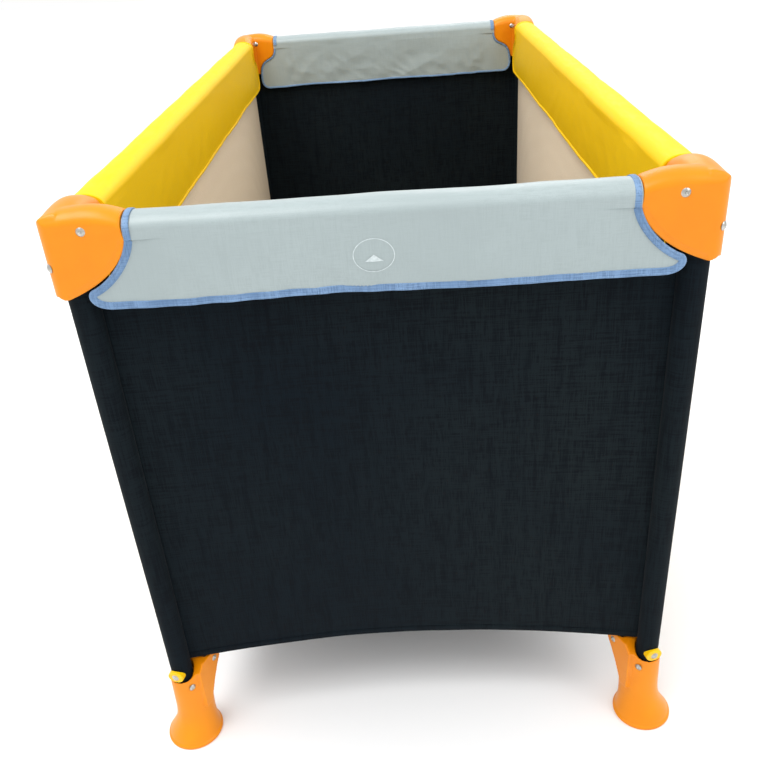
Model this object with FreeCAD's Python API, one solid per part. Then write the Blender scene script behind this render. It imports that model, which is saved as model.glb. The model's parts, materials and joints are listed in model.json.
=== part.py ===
import FreeCAD, Part
import math
import os

# Folding playpen in millimetres. X runs along the short side, Y along the long side, Z up.
# The origin is the centre of the footprint, on the floor.

V = FreeCAD.Vector
UP = V(0, 0, 1)

# Frame
POST_X = 300.0              # post axis to the centre, along X
POST_Y = 605.0              # post axis to the centre, along Y
RAIL_Z = 713.0              # top rail axis
ARM_Z = 110.0               # base arm axis
HEAD_PIVOT = 22.0           # post axis to the rail pivot, along the rail
LATCH_PIVOT = 33.0          # rail middle to each latch pivot
EAR_PIVOT = 25.0            # post axis to the base arm pivot, along X and along Y
HUB_PIVOT = 30.0            # centre to the hub pivot, along X and along Y
ARM_ANGLE = math.degrees(math.atan2(POST_Y - EAR_PIVOT - HUB_PIVOT, POST_X - EAR_PIVOT - HUB_PIVOT))
ARM_LENGTH = math.hypot(POST_Y - EAR_PIVOT - HUB_PIVOT, POST_X - EAR_PIVOT - HUB_PIVOT)

# Tubes and pins
RAIL_R = 8.0
ARM_R = 9.5
TUBE_WALL = 1.2
POST_R = 11.0
POST_WALL = 1.2
PIN_R = 3.0
PIN_PLAY = 0.05             # radial running clearance of a hinge pin
OPEN_PIVOT_PLAY = 0.4       # radial clearance where the linkage closes on itself
RIVET_HEAD_R = 4.6
RIVET_HEAD_H = 2.0
DIMPLE_R = 1.8
DIMPLE_DEPTH = 1.2

# Corner head: each wing is a rounded crest over two flat faces
HEAD_OUT = 21.0             # post axis to the outer face
HEAD_IN = 18.0              # post axis to the inner face
HEAD_CORNER_R = 12.0
HEAD_BOTTOM = 645.0
HEAD_SHOULDER = 716.0       # the end of a wing leans outward below this height
HEAD_ROUND = 8.0            # rounding of the bottom outer corner
TAIL_BOTTOM = 651.0         # the inner face ends in a narrow tail
TAIL_REACH = 24.0
HEAD_TOP = 740.0            # above every crest
WING_END = 59.0             # post axis to the end of a wing at the top
WING_REACH = 60.5           # and where it is longest
REACH_Z = 702.0
HEAD_SLOT_HALF = 9.0        # half width of the slot that the rail folds into
HEAD_SLOT_START = 12.5
HEAD_SLOT_TOP = 721.3
HEAD_SLOT_BACK = 600.0      # the slots are open below the head
POST_TOP = 700.0
HEAD_RIVET_Z = 678.0
BORDER_DEPTH = 0.8
BORDER_WIDTH = 6.0
# Crest sections: distance from the post axis, height of the crest, height of its rounding
CREST = [(-HEAD_OUT, 730.0, 10.5), (0, 731.0, 12.5), (20, 732.5, 14.0), (40, 731.0, 14.0),
         (WING_END, 725.0, 12.0), (WING_REACH + 1, 724.0, 12.0)]

# Sleeve on the post
SLEEVE_BOTTOM = 100.0
SLEEVE_TOP = 664.0
SLEEVE_R_BOTTOM = 13.2
SLEEVE_R_TOP = 15.0
SLEEVE_RECESS_R = 15.5

# Foot
FOOT_TOP = 122.0
RIM_Z = 104.0               # lowest part of the cup's rim, round the outside
SOLE_T = 4.5
SOCKET_BOTTOM = 12.0
CUP_FLOOR = 98.0
EAR_IN = 10.2               # half width of the slot between the ears
EAR_OUT = 14.5
EAR_R = 12.0
EAR_LOW = 50.0              # the ears merge into the boot above this height
FOOT_RIVET_Z = 92.0
PLUG_Z = 115.0
PLUG_TURN = 15.0            # the plug faces out of the short side, turned this much to the corner
PLUG_OUT = 17.5
# Foot sections: height, shift of the centre along the inward diagonal, half length, half width
FOOT_SECTIONS = [(SOLE_T, -1, 34.0, 34.0), (12, 0, 31.5, 30.5), (24, 3, 28.0, 24.5), (38, 6, 26.0, 20.5),
                 (58, 8, 25.8, 18.8), (84, 10, 27.2, 18.8), (FOOT_TOP, 12, 29.5, 19.2)]
SOLE_RIM = (0, -1, 36.0, 36.0)

# Rail covers: foam and fabric
COVER_HALF = 20.5           # rail axis to the outer faces
COVER_TOP = 724.5
COVER_SHOULDER = 711.0      # the rounding of the top starts here
COVER_T = 3.0
COVER_GAP = 1.5             # between a cover and the end of a head's wing
HEM_OUTSIDE = 636.0
HEM_INSIDE = 622.0
FOAM_BOTTOM = 701.0
HALF_GAP = 0.4              # half of the gap between the two covers of a rail

# Latch in the middle of each rail
BRACKET_HALF = 42.0
BRACKET_BOX = 26.0          # half length of the deeper middle part
BRACKET_IN = 8.4
BRACKET_T = 2.0
BRACKET_TOP = 720.0
BRACKET_BOTTOM = 658.0
STOP_TOP = RAIL_Z - RAIL_R - 0.2
BUTTON_Z = 678.0
BUTTON_R = 10.0
BUTTON_STEM_R = 4.0
BUTTON_OUT = 16.5           # rail axis to the face of the button

# Fabric walls and floor
WALL_T = 3.0
WALL_OFFSET = 5.0           # post plane to the middle of the fabric
WALL_BOTTOM = 125.0
WALL_TOP = 655.0
WALL_END = 15.5             # post axis to the edge of the fabric
WALL_BOW = 30.0             # how far the bottom hem curves inward
WALL_BOW_TOP = 2.0
FLOOR_T = 3.0
FLOOR_TOP = 131.0
FLOOR_GAP = 1.0             # to the walls and round the strap

# Hub
HUB_PLATE_X = 50.0
HUB_PLATE_Y = 60.0
HUB_PLATE_LOW = 121.0
HUB_PLATE_HIGH = 127.0
HUB_LEG_R = 13.0
HUB_PAD_R = 20.0
HUB_PAD_H = 6.0
STRAP_WIDTH = 25.0
STRAP_T = 2.0
STRAP_REACH = 42.0
STRAP_TOP = 135.0


def box(x0, x1, y0, y1, z0, z1):
    return Part.makeBox(x1 - x0, y1 - y0, z1 - z0, V(x0, y0, z0))


def rod(radius, start, end):
    """A round bar between two points."""
    return Part.makeCylinder(radius, (end - start).Length, start, end - start)


def line(a, b):
    return Part.makeLine(a, b)


def curve(*poles):
    bezier = Part.BezierCurve()
    bezier.setPoles(list(poles))
    return bezier.toShape()


def prism(edges, direction):
    """The outline of these edges, closed and pushed along direction."""
    return Part.Face(Part.Wire(edges)).extrude(direction)


def outline(points):
    return Part.makePolygon(points + [points[0]]).Edges


def upright(x, z, y=0.0):
    """A point of a drawing that stands in the X-Z plane."""
    return V(x, y, z)


def turned(shape, angle, x=0.0, y=0.0):
    """A copy turned about Z and moved to (x, y)."""
    copy = shape.copy()
    copy.rotate(V(0, 0, 0), UP, angle)
    copy.translate(V(x, y, 0))
    return copy


def rivet(middle, axis, low, high, low_head=True, high_head=True):
    """A pin along axis from low to high, with a domed head on each end that has one."""
    ball_r = (RIVET_HEAD_R ** 2 + RIVET_HEAD_H ** 2) / (2 * RIVET_HEAD_H)
    solid = Part.makeCylinder(PIN_R, high - low, V(0, 0, low))
    for has_head, end, side in ((low_head, low, -1), (high_head, high, 1)):
        if has_head:
            ball = Part.makeSphere(ball_r, V(0, 0, end + side * (RIVET_HEAD_H - ball_r)))
            span = sorted((end, end + side * RIVET_HEAD_H))
            slab = Part.makeCylinder(RIVET_HEAD_R, span[1] - span[0], V(0, 0, span[0]))
            dimple = Part.makeSphere(DIMPLE_R, V(0, 0, end + side * (RIVET_HEAD_H + DIMPLE_R - DIMPLE_DEPTH)))
            solid = solid.fuse(ball.common(slab).cut(dimple))
    solid = solid.removeSplitter()
    solid.Placement = FreeCAD.Placement(middle, FreeCAD.Rotation(UP, axis))
    return solid


def pinned_tube(length, radius, near_play, far_play):
    """A tube along +X from its pivot at the origin, rounded about the pin at each end."""
    tube = rod(radius, V(-radius, 0, 0), V(length + radius, 0, 0))
    tube = tube.cut(rod(radius - TUBE_WALL, V(-radius, 0, 0), V(length + radius, 0, 0)))
    ends = box(0, length, -radius, radius, -radius, radius)
    for x in (0, length):
        ends = ends.fuse(rod(radius, V(x, -radius, 0), V(x, radius, 0)))
    tube = tube.common(ends)
    for x, play in ((0, near_play), (length, far_play)):
        tube = tube.cut(rod(PIN_R + play, V(x, -2 * radius, 0), V(x, 2 * radius, 0)))
    return tube


# The corner parts are drawn for the front left post: its axis is the local Z axis, and +X and +Y
# point along the two rails, into the pen.

INWARD = V(1, 1, 0).normalize()
ACROSS = V(1, -1, 0).normalize()
ALONG_ARM = V(math.cos(math.radians(ARM_ANGLE)), math.sin(math.radians(ARM_ANGLE)), 0)
ACROSS_ARM = V(ALONG_ARM.y, -ALONG_ARM.x, 0)
PLUG_OUTWARD = V(-math.sin(math.radians(PLUG_TURN)), -math.cos(math.radians(PLUG_TURN)), 0)


def swapped(shape):
    """The same part for the other rail direction: X and Y change places."""
    return shape.mirror(V(0, 0, 0), V(1, -1, 0))


def at_corner(shape, right, rear):
    placed = shape.copy()
    if right:
        placed = placed.mirror(V(0, 0, 0), V(1, 0, 0))
    if rear:
        placed = placed.mirror(V(0, 0, 0), V(0, 1, 0))
    placed.translate(V(POST_X if right else -POST_X, POST_Y if rear else -POST_Y, 0))
    return placed


def post_rivets():
    rail_pin = rivet(V(HEAD_PIVOT, 0, RAIL_Z), V(0, 1, 0), -HEAD_OUT, HEAD_IN)
    corner = math.sqrt(2) * (HEAD_OUT - HEAD_CORNER_R) + HEAD_CORNER_R
    inside = -POST_R + 2 * POST_WALL
    head_screw = rivet(V(0, 0, HEAD_RIVET_Z), INWARD, -corner, inside, True, False)
    foot_rivet = rivet(V(0, 0, FOOT_RIVET_Z), ACROSS, -18.6, 18.6)
    arm_pin = rivet(V(EAR_PIVOT, EAR_PIVOT, ARM_Z), ACROSS_ARM, -EAR_OUT, EAR_OUT)
    plug_screw = rivet(V(0, 0, PLUG_Z), -1 * PLUG_OUTWARD, -PLUG_OUT, inside, True, False)
    return [rail_pin, swapped(rail_pin), head_screw, foot_rivet, arm_pin, plug_screw]


def wing_section(x, crest, rounding):
    """A cross-section of a wing: straight sides under a half ellipse."""
    shoulder = crest - rounding
    middle = (HEAD_IN - HEAD_OUT) / 2
    ellipse = Part.Ellipse(V(x, HEAD_IN, shoulder), V(x, middle, crest), V(x, middle, shoulder))
    corners = [V(x, -HEAD_OUT, shoulder), V(x, -HEAD_OUT, HEAD_BOTTOM - 5),
               V(x, HEAD_IN, HEAD_BOTTOM - 5), V(x, HEAD_IN, shoulder)]
    sides = [line(a, b) for a, b in zip(corners, corners[1:])]
    return Part.Wire([Part.ArcOfEllipse(ellipse, 0, math.pi).toShape()] + sides)


def outer_lower_edge(inset=0.0):
    """The quarter-round lower edge of the outer face, from the wing's end to the post."""
    return curve(upright(WING_REACH - inset, REACH_Z), upright(57 - inset, 684 + inset),
                 upright(38 - 0.5 * inset, 661 + inset), upright(-6, HEAD_BOTTOM + inset))


def inner_lower_edge():
    """The inner face has a round lobe at the rail and a narrow tail down the post."""
    tail = upright(TAIL_REACH, TAIL_BOTTOM)
    return curve(upright(WING_REACH, REACH_Z), upright(57, 672), upright(28, 692), tail)


def head_wing():
    crest = Part.makeLoft([wing_section(*section) for section in CREST], True)
    top = upright(WING_END, HEAD_TOP)
    shoulder = upright(WING_END, HEAD_SHOULDER)
    end = [line(top, shoulder), line(shoulder, upright(WING_REACH, REACH_Z))]
    crown_start = upright(-HEAD_OUT, 712)
    crown_end = upright(6, 735)
    round_top = curve(crown_start, upright(-HEAD_OUT, 729), upright(-12, 735), crown_end)
    side_start = upright(-HEAD_OUT, HEAD_BOTTOM + HEAD_ROUND)
    round_bottom = curve(upright(-6, HEAD_BOTTOM), upright(-14, HEAD_BOTTOM), side_start)
    outer = end + [outer_lower_edge(), round_bottom, line(side_start, crown_start), round_top,
                   line(crown_end, top)]
    middle_low = upright(-5, TAIL_BOTTOM)
    middle_high = upright(-5, HEAD_TOP)
    inner = end + [inner_lower_edge(), line(upright(TAIL_REACH, TAIL_BOTTOM), middle_low),
                   line(middle_low, middle_high), line(middle_high, top)]
    sides = prism(outer, V(0, -HEAD_OUT - 1, 0)).fuse(prism(inner, V(0, HEAD_IN + 1, 0)))
    wing = crest.common(sides)
    edges = [outer_lower_edge(), outer_lower_edge(BORDER_WIDTH)]
    edges += [line(edges[0].Vertexes[i].Point, edges[1].Vertexes[i].Point) for i in (0, -1)]
    border = prism(Part.__sortEdges__(edges), V(0, BORDER_DEPTH, 0))
    border.translate(V(0, -HEAD_OUT, 0))
    return wing.cut(border)


def corner_head(rivets):
    wing = head_wing()
    column = box(-HEAD_OUT, 2 * WING_END, -HEAD_OUT, 2 * WING_END, HEAD_BOTTOM, HEAD_TOP)
    corner = [e for e in column.Edges if e.CenterOfMass.x < 0 and e.CenterOfMass.y < 0
              and abs(e.tangentAt(0).z) > 0.9]
    head = wing.fuse(swapped(wing)).common(column.makeFillet(HEAD_CORNER_R, corner))
    slot = box(HEAD_SLOT_START, 80, -HEAD_SLOT_HALF, HEAD_SLOT_HALF, HEAD_SLOT_BACK, HEAD_SLOT_TOP)
    post_hole = Part.makeCylinder(POST_R, POST_TOP - SLEEVE_TOP, V(0, 0, SLEEVE_TOP))
    recess = Part.makeCylinder(SLEEVE_RECESS_R, SLEEVE_TOP + 0.5 - HEAD_SLOT_BACK, V(0, 0, HEAD_SLOT_BACK))
    return head.cut([slot, swapped(slot), post_hole, recess] + rivets)


def post_tube(rivets):
    height = POST_TOP - SOCKET_BOTTOM
    tube = Part.makeCylinder(POST_R, height, V(0, 0, SOCKET_BOTTOM))
    tube = tube.cut(Part.makeCylinder(POST_R - POST_WALL, height, V(0, 0, SOCKET_BOTTOM)))
    return tube.cut(rivets)


def post_sleeve(rivets):
    height = SLEEVE_TOP - SLEEVE_BOTTOM
    sleeve = Part.makeCone(SLEEVE_R_BOTTOM, SLEEVE_R_TOP, height, V(0, 0, SLEEVE_BOTTOM))
    return sleeve.cut([Part.makeCylinder(POST_R, height, V(0, 0, SLEEVE_BOTTOM))] + rivets)


def diagonal_ellipse(height, shift, half_length, half_width):
    wire = Part.Wire(Part.Ellipse(V(shift, 0, height), half_length, half_width).toShape())
    wire.rotate(V(0, 0, 0), UP, 45)
    return wire


def foot_ears():
    """The block that carries the base arm pivot, drawn along +X and turned to the arm."""
    edges = [
        line(upright(-32, FOOT_TOP), upright(0, FOOT_TOP)),
        Part.Arc(upright(0, FOOT_TOP), upright(EAR_R, ARM_Z), upright(8.5, ARM_Z - 8.5)).toShape(),
        curve(upright(8.5, ARM_Z - 8.5), upright(0, ARM_Z - 20), upright(-9, ARM_Z - 34),
              upright(-20, EAR_LOW)),
        line(upright(-20, EAR_LOW), upright(-32, EAR_LOW)),
        line(upright(-32, EAR_LOW), upright(-32, FOOT_TOP)),
    ]
    block = prism(edges, V(0, 2 * EAR_OUT, 0))
    block.translate(V(0, -EAR_OUT, 0))
    return turned(block, ARM_ANGLE, EAR_PIVOT, EAR_PIVOT)


def foot(rivets):
    boot = Part.makeLoft([diagonal_ellipse(*section) for section in FOOT_SECTIONS], True)
    rim = Part.Face(diagonal_ellipse(*SOLE_RIM)).extrude(V(0, 0, SOLE_T))
    rim = rim.makeFillet(1.6, [e for e in rim.Edges if len(e.Vertexes) == 1])
    over_rim = prism([
        line(upright(-40, RIM_Z), upright(-4, RIM_Z)),
        curve(upright(-4, RIM_Z), upright(5, RIM_Z), upright(9, RIM_Z + 6), upright(19, FOOT_TOP - 0.5)),
        line(upright(19, FOOT_TOP - 0.5), upright(80, FOOT_TOP - 0.5)),
        line(upright(80, FOOT_TOP - 0.5), upright(80, 150)),
        line(upright(80, 150), upright(-40, 150)),
        line(upright(-40, 150), upright(-40, RIM_Z)),
    ], V(0, 100, 0))
    over_rim.translate(V(0, -50, 0))
    over_rim = turned(over_rim, 45)
    slot = turned(box(-11.5, 60, -EAR_IN, EAR_IN, ARM_Z - 12, 150), ARM_ANGLE, EAR_PIVOT, EAR_PIVOT)
    socket = Part.makeCylinder(POST_R, CUP_FLOOR - SOCKET_BOTTOM, V(0, 0, SOCKET_BOTTOM))
    cup = Part.makeCylinder(SLEEVE_RECESS_R, 100, V(0, 0, CUP_FLOOR))
    return boot.fuse([rim, foot_ears()]).cut([over_rim, slot, socket, cup] + rivets)


def sleeve_plug(rivets):
    """An oval cap that holds the end of the sleeve."""
    oval = Part.Face(Part.Wire(Part.Ellipse(V(0, 0, 0), 10.5, 8.5).toShape())).extrude(V(0, 0, PLUG_OUT))
    oval = oval.makeFillet(1.5, [e for e in oval.Edges if len(e.Vertexes) == 1 and e.CenterOfMass.z > 1])
    sideways = PLUG_OUTWARD.cross(UP)
    oval.Placement = FreeCAD.Placement(V(0, 0, PLUG_Z), FreeCAD.Rotation(sideways, UP, PLUG_OUTWARD, "ZXY"))
    return oval.cut([Part.makeCylinder(SLEEVE_R_TOP - 1.0, 60, V(0, 0, PLUG_Z - 30))] + rivets)


def base_arm():
    arm = pinned_tube(ARM_LENGTH, ARM_R, PIN_PLAY, PIN_PLAY)
    arm.translate(V(0, 0, ARM_Z))
    return turned(arm, ARM_ANGLE, EAR_PIVOT, EAR_PIVOT)


def four_ways(shape):
    """The same part in each quarter of the pen, from the one in the front left quarter."""
    return [shape, shape.mirror(V(0, 0, 0), V(1, 0, 0)), shape.mirror(V(0, 0, 0), V(0, 1, 0)),
            shape.mirror(V(0, 0, 0), V(1, 0, 0)).mirror(V(0, 0, 0), V(0, 1, 0))]


def hub_pin():
    return rivet(V(-HUB_PIVOT, -HUB_PIVOT, ARM_Z), ACROSS_ARM, -EAR_OUT, EAR_OUT)


def hub_body():
    plate = box(-HUB_PLATE_X, HUB_PLATE_X, -HUB_PLATE_Y, HUB_PLATE_Y, HUB_PLATE_LOW, HUB_PLATE_HIGH)
    plate = plate.makeFillet(20, [e for e in plate.Edges if abs(e.tangentAt(0).z) > 0.9])
    cheeks = []
    for y in (-EAR_OUT, EAR_IN):
        cheek = rod(EAR_R, V(0, y, ARM_Z), V(0, y + EAR_OUT - EAR_IN, ARM_Z))
        neck = box(-EAR_R, EAR_R, y, y + EAR_OUT - EAR_IN, ARM_Z, HUB_PLATE_LOW)
        cheeks += four_ways(turned(cheek.fuse(neck), ARM_ANGLE, -HUB_PIVOT, -HUB_PIVOT))
    leg = Part.makeCylinder(HUB_LEG_R, HUB_PLATE_LOW)
    pad = Part.makeCylinder(HUB_PAD_R, HUB_PAD_H)
    return plate.fuse(cheeks + [leg, pad]).cut(four_ways(hub_pin()))


def pull_strap():
    """A webbing loop that lies low over the floor and goes down to the hub at both ends."""
    half = STRAP_WIDTH / 2
    strap = box(-half, half, -STRAP_REACH, STRAP_REACH, STRAP_TOP - STRAP_T, STRAP_TOP)
    for y in (-STRAP_REACH, STRAP_REACH - STRAP_T):
        strap = strap.fuse(box(-half, half, y, y + STRAP_T, HUB_PLATE_HIGH, STRAP_TOP))
    return strap.removeSplitter()


def bowed_edge(half_span, offset, bow, height):
    """An arc between two posts, offset from their plane and bowing further into the pen."""
    return Part.Arc(V(-half_span, offset, height), V(0, offset + bow, height), V(half_span, offset, height))


def fabric_wall(half_length):
    """A thin wall between two posts, drawn in the frame of the front rail."""
    half_span = half_length - WALL_END
    sections = []
    for height, bow in ((WALL_BOTTOM, WALL_BOW), (WALL_TOP, WALL_BOW_TOP)):
        outside = bowed_edge(half_span, WALL_OFFSET - WALL_T / 2, bow, height).toShape()
        inside = bowed_edge(half_span, WALL_OFFSET + WALL_T / 2, bow, height).toShape()
        ends = [line(outside.Vertexes[i].Point, inside.Vertexes[i].Point) for i in (0, 1)]
        sections.append(Part.Wire([outside, ends[1], inside, ends[0]]))
    return Part.makeLoft(sections, True, True)


def between_walls(half_length, half_width):
    """The floor as far as the two walls that are 2 * half_length long."""
    low = FLOOR_TOP - FLOOR_T
    side = half_length - WALL_END
    edge = -half_width + WALL_OFFSET + WALL_T / 2 + FLOOR_GAP
    near = bowed_edge(side, edge, WALL_BOW, low).toShape()
    outline_edges = [near, near.mirror(V(0, 0, 0), V(0, 1, 0)), line(V(-side, edge, low), V(-side, -edge, low)),
                     line(V(side, edge, low), V(side, -edge, low))]
    return prism(Part.__sortEdges__(outline_edges), V(0, 0, FLOOR_T))


def floor_panel():
    """The fabric floor, up to the hems of the four walls, with slots for the strap."""
    panel = between_walls(POST_X, POST_Y).common(swapped(between_walls(POST_Y, POST_X)))
    half = STRAP_WIDTH / 2 + FLOOR_GAP
    for y in (-STRAP_REACH, STRAP_REACH - STRAP_T):
        slot = box(-half, half, y - FLOOR_GAP, y + STRAP_T + FLOOR_GAP, FLOOR_TOP - FLOOR_T - 1, FLOOR_TOP + 1)
        panel = panel.cut(slot)
    return panel


# The rail parts are drawn in the frame of the front rail: X along the rail from its middle,
# +Y into the pen, and the rail axis in the plane of the posts.

def rail_tube(half_length, far_is_open):
    """The left half of a rail, from the head pivot to the latch pivot."""
    length = half_length - HEAD_PIVOT - LATCH_PIVOT
    tube = pinned_tube(length, RAIL_R, OPEN_PIVOT_PLAY if far_is_open else PIN_PLAY, PIN_PLAY)
    tube.translate(V(-half_length + HEAD_PIVOT, 0, RAIL_Z))
    return tube


def rail_cover(half_length):
    """Foam round the left half of a rail, with a fabric skirt on both sides of the wall."""
    inner = COVER_HALF - COVER_T
    crown = Part.Ellipse(V(0, COVER_HALF, COVER_SHOULDER), V(0, 0, COVER_TOP), V(0, 0, COVER_SHOULDER))
    corners = [(-COVER_HALF, COVER_SHOULDER), (-COVER_HALF, HEM_OUTSIDE), (-inner, HEM_OUTSIDE),
               (-inner, FOAM_BOTTOM), (inner, FOAM_BOTTOM), (inner, HEM_INSIDE), (COVER_HALF, HEM_INSIDE),
               (COVER_HALF, COVER_SHOULDER)]
    section = [Part.ArcOfEllipse(crown, 0, math.pi).toShape()]
    section += [line(V(0, *a), V(0, *b)) for a, b in zip(corners, corners[1:])]
    cover = prism(section, V(half_length - HALF_GAP, 0, 0))
    cover.translate(V(-half_length, 0, 0))
    end = WING_END + COVER_GAP
    reach = upright(WING_REACH + COVER_GAP, REACH_Z - 1)
    corner = upright(29, 652)
    below = HEM_INSIDE - 12
    end_cut = [
        line(upright(0, HEAD_TOP), upright(end, HEAD_TOP)),
        line(upright(end, HEAD_TOP), upright(end, HEAD_SHOULDER)),
        line(upright(end, HEAD_SHOULDER), reach),
        curve(reach, upright(60, 681), upright(43, 661), corner),
        curve(corner, upright(25, 648), upright(24.5, 638), upright(32, below)),
        line(upright(32, below), upright(0, below)),
        line(upright(0, below), upright(0, HEAD_TOP)),
    ]
    tool = prism(end_cut, V(0, 4 * COVER_HALF, 0))
    tool.translate(V(-half_length, -2 * COVER_HALF, 0))
    room_end = -BRACKET_HALF - 5
    rivet_room = box(room_end, 1, -inner + 1, inner - 1, HEM_INSIDE - 5, RAIL_Z + RIVET_HEAD_R + 0.5)
    bracket_room = box(room_end, 1, -BRACKET_IN - 2.6, BRACKET_IN + 2.6, FOAM_BOTTOM, BRACKET_TOP + 0.6)
    tube_room = rod(RAIL_R, V(-half_length, 0, RAIL_Z), V(0, 0, RAIL_Z))
    return cover.cut([tool, rivet_room, bracket_room, tube_room])


def latch_bracket():
    """A steel channel, open at the top, with the two rail pivots and the button's box below."""
    outside = BRACKET_IN + BRACKET_T
    shape = outline([upright(x, z) for x, z in (
        (-BRACKET_HALF, STOP_TOP - BRACKET_T), (-BRACKET_HALF, BRACKET_TOP), (BRACKET_HALF, BRACKET_TOP),
        (BRACKET_HALF, STOP_TOP - BRACKET_T), (BRACKET_BOX, STOP_TOP - BRACKET_T),
        (BRACKET_BOX, BRACKET_BOTTOM), (-BRACKET_BOX, BRACKET_BOTTOM), (-BRACKET_BOX, STOP_TOP - BRACKET_T))])
    channel = prism(shape, V(0, 2 * outside, 0))
    channel.translate(V(0, -outside, 0))
    hollow = box(-BRACKET_HALF, BRACKET_HALF, -BRACKET_IN, BRACKET_IN, BRACKET_BOTTOM + BRACKET_T, BRACKET_TOP)
    channel = channel.cut(hollow)
    stop = box(-BRACKET_HALF, -BRACKET_BOX + BRACKET_T, -BRACKET_IN, BRACKET_IN, STOP_TOP - BRACKET_T, STOP_TOP)
    channel = channel.fuse([stop, stop.mirror(V(0, 0, 0), V(1, 0, 0))]).removeSplitter()
    pins = [rivet(V(x, 0, RAIL_Z), V(0, 1, 0), -outside, outside) for x in (-LATCH_PIVOT, LATCH_PIVOT)]
    guide = rod(BUTTON_STEM_R + PIN_PLAY, V(0, 0, BUTTON_Z), V(0, 2 * outside, BUTTON_Z))
    window = rod(BUTTON_R + 0.4, V(0, -2 * outside, BUTTON_Z), V(0, 0, BUTTON_Z))
    return Part.makeCompound([channel.cut(pins + [guide, window])] + pins)


def latch_button():
    shoulder = -BRACKET_IN + 1.0
    cap = rod(BUTTON_R, V(0, -BUTTON_OUT, BUTTON_Z), V(0, shoulder, BUTTON_Z))
    cap = cap.makeFillet(2, [e for e in cap.Edges if len(e.Vertexes) == 1 and e.CenterOfMass.y < shoulder - 1])
    stem_end = BRACKET_IN + BRACKET_T + 0.4
    return cap.fuse(rod(BUTTON_STEM_R, V(0, shoulder, BUTTON_Z), V(0, stem_end, BUTTON_Z)))


def at_side(shape, side):
    """Puts a part drawn in the front rail's frame on one side of the pen."""
    placed = shape.copy()
    if side in ("left", "right"):
        placed = swapped(placed)
    if side == "right":
        placed = placed.mirror(V(0, 0, 0), V(1, 0, 0))
    if side == "rear":
        placed = placed.mirror(V(0, 0, 0), V(0, 1, 0))
    placed.translate({"front": V(0, -POST_Y, 0), "rear": V(0, POST_Y, 0),
                      "left": V(-POST_X, 0, 0), "right": V(POST_X, 0, 0)}[side])
    return placed


nodes = {}

rivets = post_rivets()
corner_parts = {
    "post_tube": post_tube(rivets),
    "corner_head": corner_head(rivets),
    "foot": foot(rivets),
    "post_sleeve": post_sleeve(rivets),
    "sleeve_plug": sleeve_plug(rivets),
    "post_rivets": Part.makeCompound(rivets),
    "base_arm": base_arm(),
}
for part_name, part_shape in corner_parts.items():
    for corner_name, right, rear in (("front_left", False, False), ("front_right", True, False),
                                     ("rear_left", False, True), ("rear_right", True, True)):
        nodes[part_name + "_" + corner_name] = at_corner(part_shape, right, rear)

nodes["hub_body"] = hub_body()
nodes["hub_pins"] = Part.makeCompound(four_ways(hub_pin()))
nodes["pull_strap"] = pull_strap()
nodes["floor_panel"] = floor_panel()

# Of each rail's two halves, the second one closes the linkage at its head pivot.
for rail_side, rail_half, wall_name, half_names in (
        ("front", POST_X, "end_panel", ("left", "right")), ("rear", POST_X, "end_panel", ("left", "right")),
        ("left", POST_Y, "side_mesh", ("front", "rear")), ("right", POST_Y, "side_mesh", ("front", "rear"))):
    for half_name, is_open in zip(half_names, (False, True)):
        for kind, half_shape in (("rail_tube", rail_tube(rail_half, is_open)),
                                 ("rail_cover", rail_cover(rail_half))):
            if is_open:
                half_shape = half_shape.mirror(V(0, 0, 0), V(1, 0, 0))
            nodes["%s_%s_%s" % (kind, rail_side, half_name)] = at_side(half_shape, rail_side)
    nodes["latch_bracket_" + rail_side] = at_side(latch_bracket(), rail_side)
    nodes["latch_button_" + rail_side] = at_side(latch_button(), rail_side)
    nodes[wall_name + "_" + rail_side] = at_side(fabric_wall(rail_half), rail_side)

os.makedirs("parts", exist_ok=True)
for node_name, node_shape in nodes.items():
    node_shape.exportStep("parts/" + node_name + ".step")
    print(node_name, len(node_shape.Solids), "valid" if node_shape.isValid() else "INVALID",
          round(node_shape.Volume / 1000, 1), "cm3")
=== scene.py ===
import json
import math

import bmesh
import bpy
import numpy as np
from mathutils import Matrix, Vector, noise


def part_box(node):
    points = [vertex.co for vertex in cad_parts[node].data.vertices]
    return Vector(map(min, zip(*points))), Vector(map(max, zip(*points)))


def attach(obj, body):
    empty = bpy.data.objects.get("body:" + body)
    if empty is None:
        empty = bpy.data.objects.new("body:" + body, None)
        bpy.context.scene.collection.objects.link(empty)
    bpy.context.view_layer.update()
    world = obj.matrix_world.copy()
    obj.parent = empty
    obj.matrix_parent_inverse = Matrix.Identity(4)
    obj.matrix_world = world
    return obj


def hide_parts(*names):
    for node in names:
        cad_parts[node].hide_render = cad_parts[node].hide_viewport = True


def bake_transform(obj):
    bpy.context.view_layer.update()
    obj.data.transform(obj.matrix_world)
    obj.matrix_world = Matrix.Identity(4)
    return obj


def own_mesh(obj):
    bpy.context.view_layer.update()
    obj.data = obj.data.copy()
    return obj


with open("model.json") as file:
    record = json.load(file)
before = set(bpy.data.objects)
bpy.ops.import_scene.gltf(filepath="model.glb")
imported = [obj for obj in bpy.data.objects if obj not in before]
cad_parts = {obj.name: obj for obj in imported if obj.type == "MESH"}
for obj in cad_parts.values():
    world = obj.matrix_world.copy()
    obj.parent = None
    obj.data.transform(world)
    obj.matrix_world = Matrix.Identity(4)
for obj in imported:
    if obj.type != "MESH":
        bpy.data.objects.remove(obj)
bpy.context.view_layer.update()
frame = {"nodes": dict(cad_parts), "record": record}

# Looks of a folding playpen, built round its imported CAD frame. All lengths are in metres.
MM = 0.001
# The rail halves on each side of a rail's middle, as its own frame sees them: u below 0, u above 0
SIDES = {"front": ("left", "right"), "rear": ("right", "left"),
         "left": ("rear", "front"), "right": ("front", "rear")}
CORNERS = {"front_left": (-1, -1), "front_right": (1, -1), "rear_left": (-1, 1), "rear_right": (1, 1)}


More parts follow.
